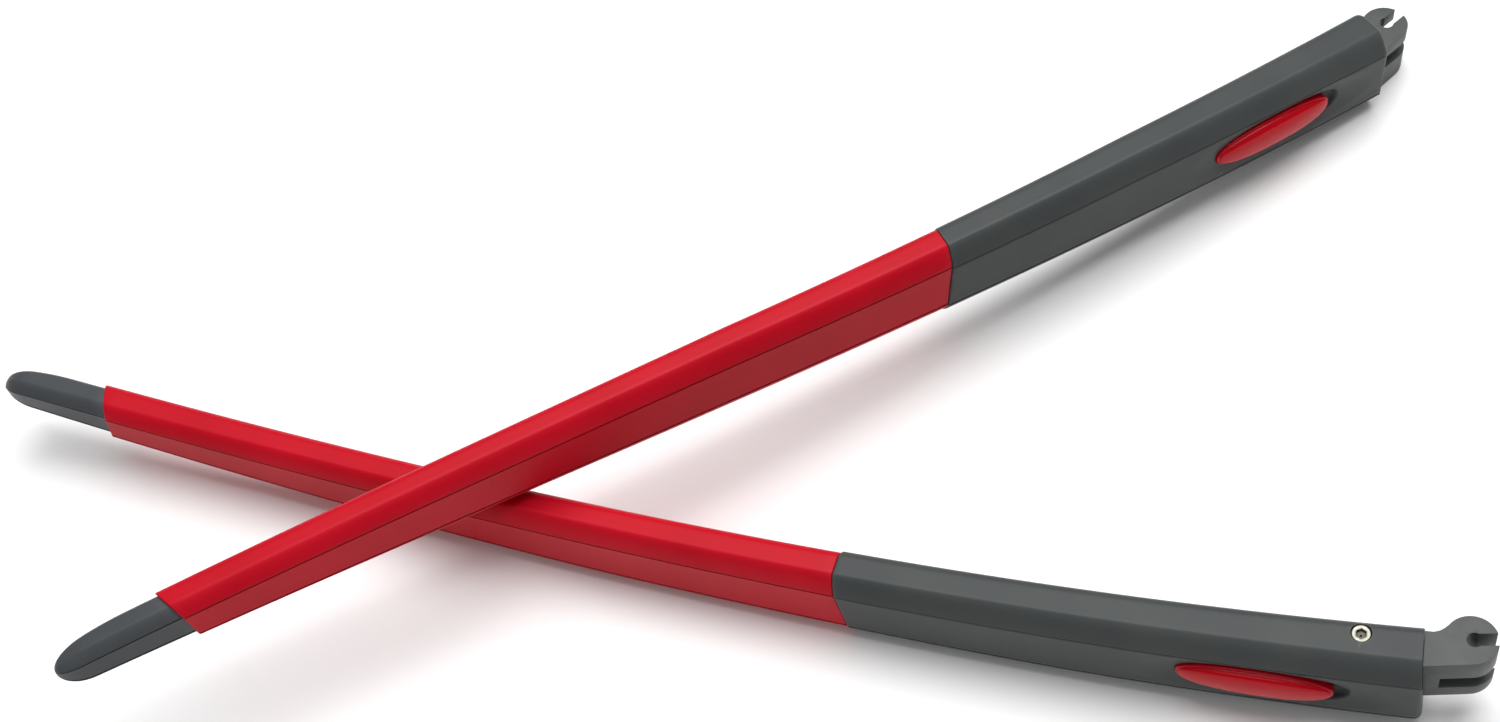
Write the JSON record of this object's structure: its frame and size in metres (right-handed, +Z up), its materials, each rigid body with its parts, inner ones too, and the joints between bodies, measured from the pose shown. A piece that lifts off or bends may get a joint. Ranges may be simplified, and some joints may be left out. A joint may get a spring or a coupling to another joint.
{
  "type": "pair of spectacle side arms",
  "caption": "Crossed left and right spectacle side arms with soft grips, domed oval insets and sprung snap-in hinge forks.",
  "frame": {"origin": "on the surface that the pair lies on, under the middle of the pair's bounding box", "axes": "+X along the pair's middle line towards the hinge forks, +Z up, +Y to the side of the right arm's hinge fork"},
  "size_m": [0.1288, 0.068, 0.015],
  "materials": {
    "stem_plastic": "satin moulded nylon, dark grey",
    "grip_rubber": "satin soft-touch elastomer, red",
    "housing_plastic": "satin moulded nylon, dark grey",
    "insert_gloss": "glossy red acrylic dome",
    "fork_plastic": "moulded filled nylon, dark grey",
    "screw_steel": "plain stainless steel",
    "spring_steel": "drawn spring steel",
    "block_brass": "turned brass",
    "wire_steel": "drawn nickel silver wire"
  },
  "bodies": {
    "left_arm": {"left_stem": "stem_plastic", "left_core_wire": "wire_steel", "left_grip_sleeve": "grip_rubber", "left_front_housing": "housing_plastic", "left_oval_insert": "insert_gloss", "left_guide_block": "block_brass", "left_retaining_screw": "screw_steel", "left_hinge_spring": "spring_steel"},
    "left_fork": {"left_hinge_fork": "fork_plastic", "left_spring_screw": "screw_steel"},
    "right_arm": {"right_stem": "stem_plastic", "right_core_wire": "wire_steel", "right_grip_sleeve": "grip_rubber", "right_front_housing": "housing_plastic", "right_oval_insert": "insert_gloss", "right_guide_block": "block_brass", "right_retaining_screw": "screw_steel", "right_hinge_spring": "spring_steel"},
    "right_fork": {"right_hinge_fork": "fork_plastic", "right_spring_screw": "screw_steel"}
  },
  "joints": [
    {"name": "right_arm_lift", "type": "slide", "parent": "left_arm", "child": "right_arm", "axis": [0, 0, 1], "range_m": [0, 0.03]},
    {"name": "left_fork_slide", "type": "slide", "parent": "left_arm", "child": "left_fork", "axis": [0.9608, -0.2773, 0], "range_m": [0, 0.0018], "stiffness_N_per_m": 1500, "springref_m": -0.001, "deforming": ["left_hinge_spring"]},
    {"name": "right_fork_slide", "type": "slide", "parent": "right_arm", "child": "right_fork", "axis": [0.8772, 0.4746, -0.072], "range_m": [0, 0.0018], "stiffness_N_per_m": 1500, "springref_m": -0.001, "deforming": ["right_hinge_spring"]}
  ]
}
